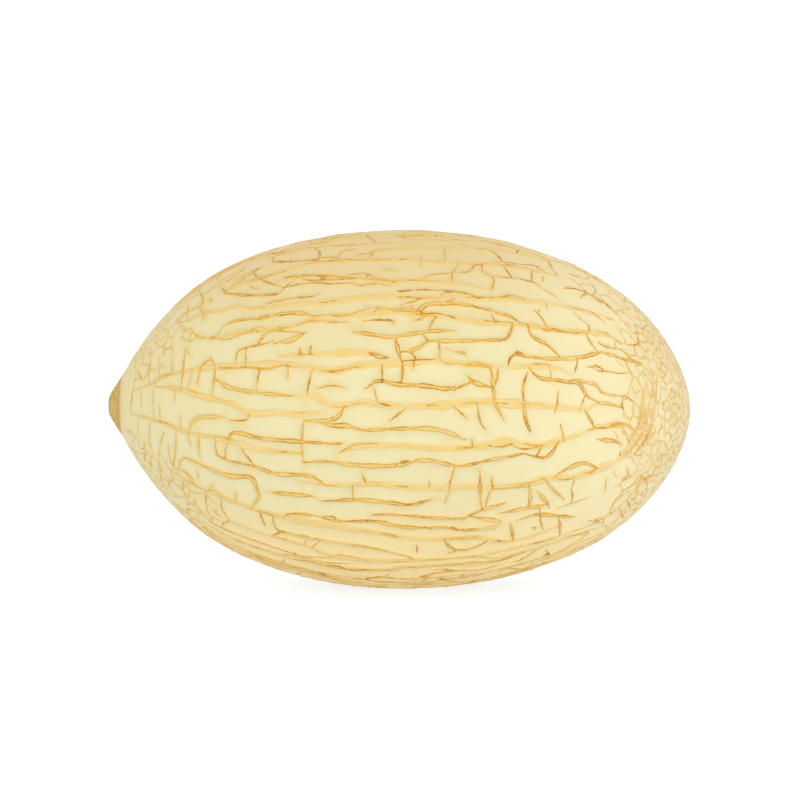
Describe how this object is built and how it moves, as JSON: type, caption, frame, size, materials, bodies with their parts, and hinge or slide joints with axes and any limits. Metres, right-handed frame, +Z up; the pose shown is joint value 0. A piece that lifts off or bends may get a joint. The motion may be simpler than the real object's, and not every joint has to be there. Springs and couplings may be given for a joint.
{
  "type": "melon",
  "caption": "Whole oval netted melon lying on its side: pale yellow rind with a raised corky net, a rough stem scar on its conical end and a small blossom scar on its blunt end.",
  "frame": {"origin": "bottom middle of the melon's box, on the small flat spot that it rests on", "axes": "+X along the long axis from the stem end to the blossom end, -Y towards the front, +Z up"},
  "size_m": [0.2394, 0.151, 0.1466],
  "materials": {
    "rind": "satin, faintly waxy pale yellow skin with a matte tan corky net"
  },
  "bodies": {
    "root": {"melon": "rind"}
  },
  "joints": []
}
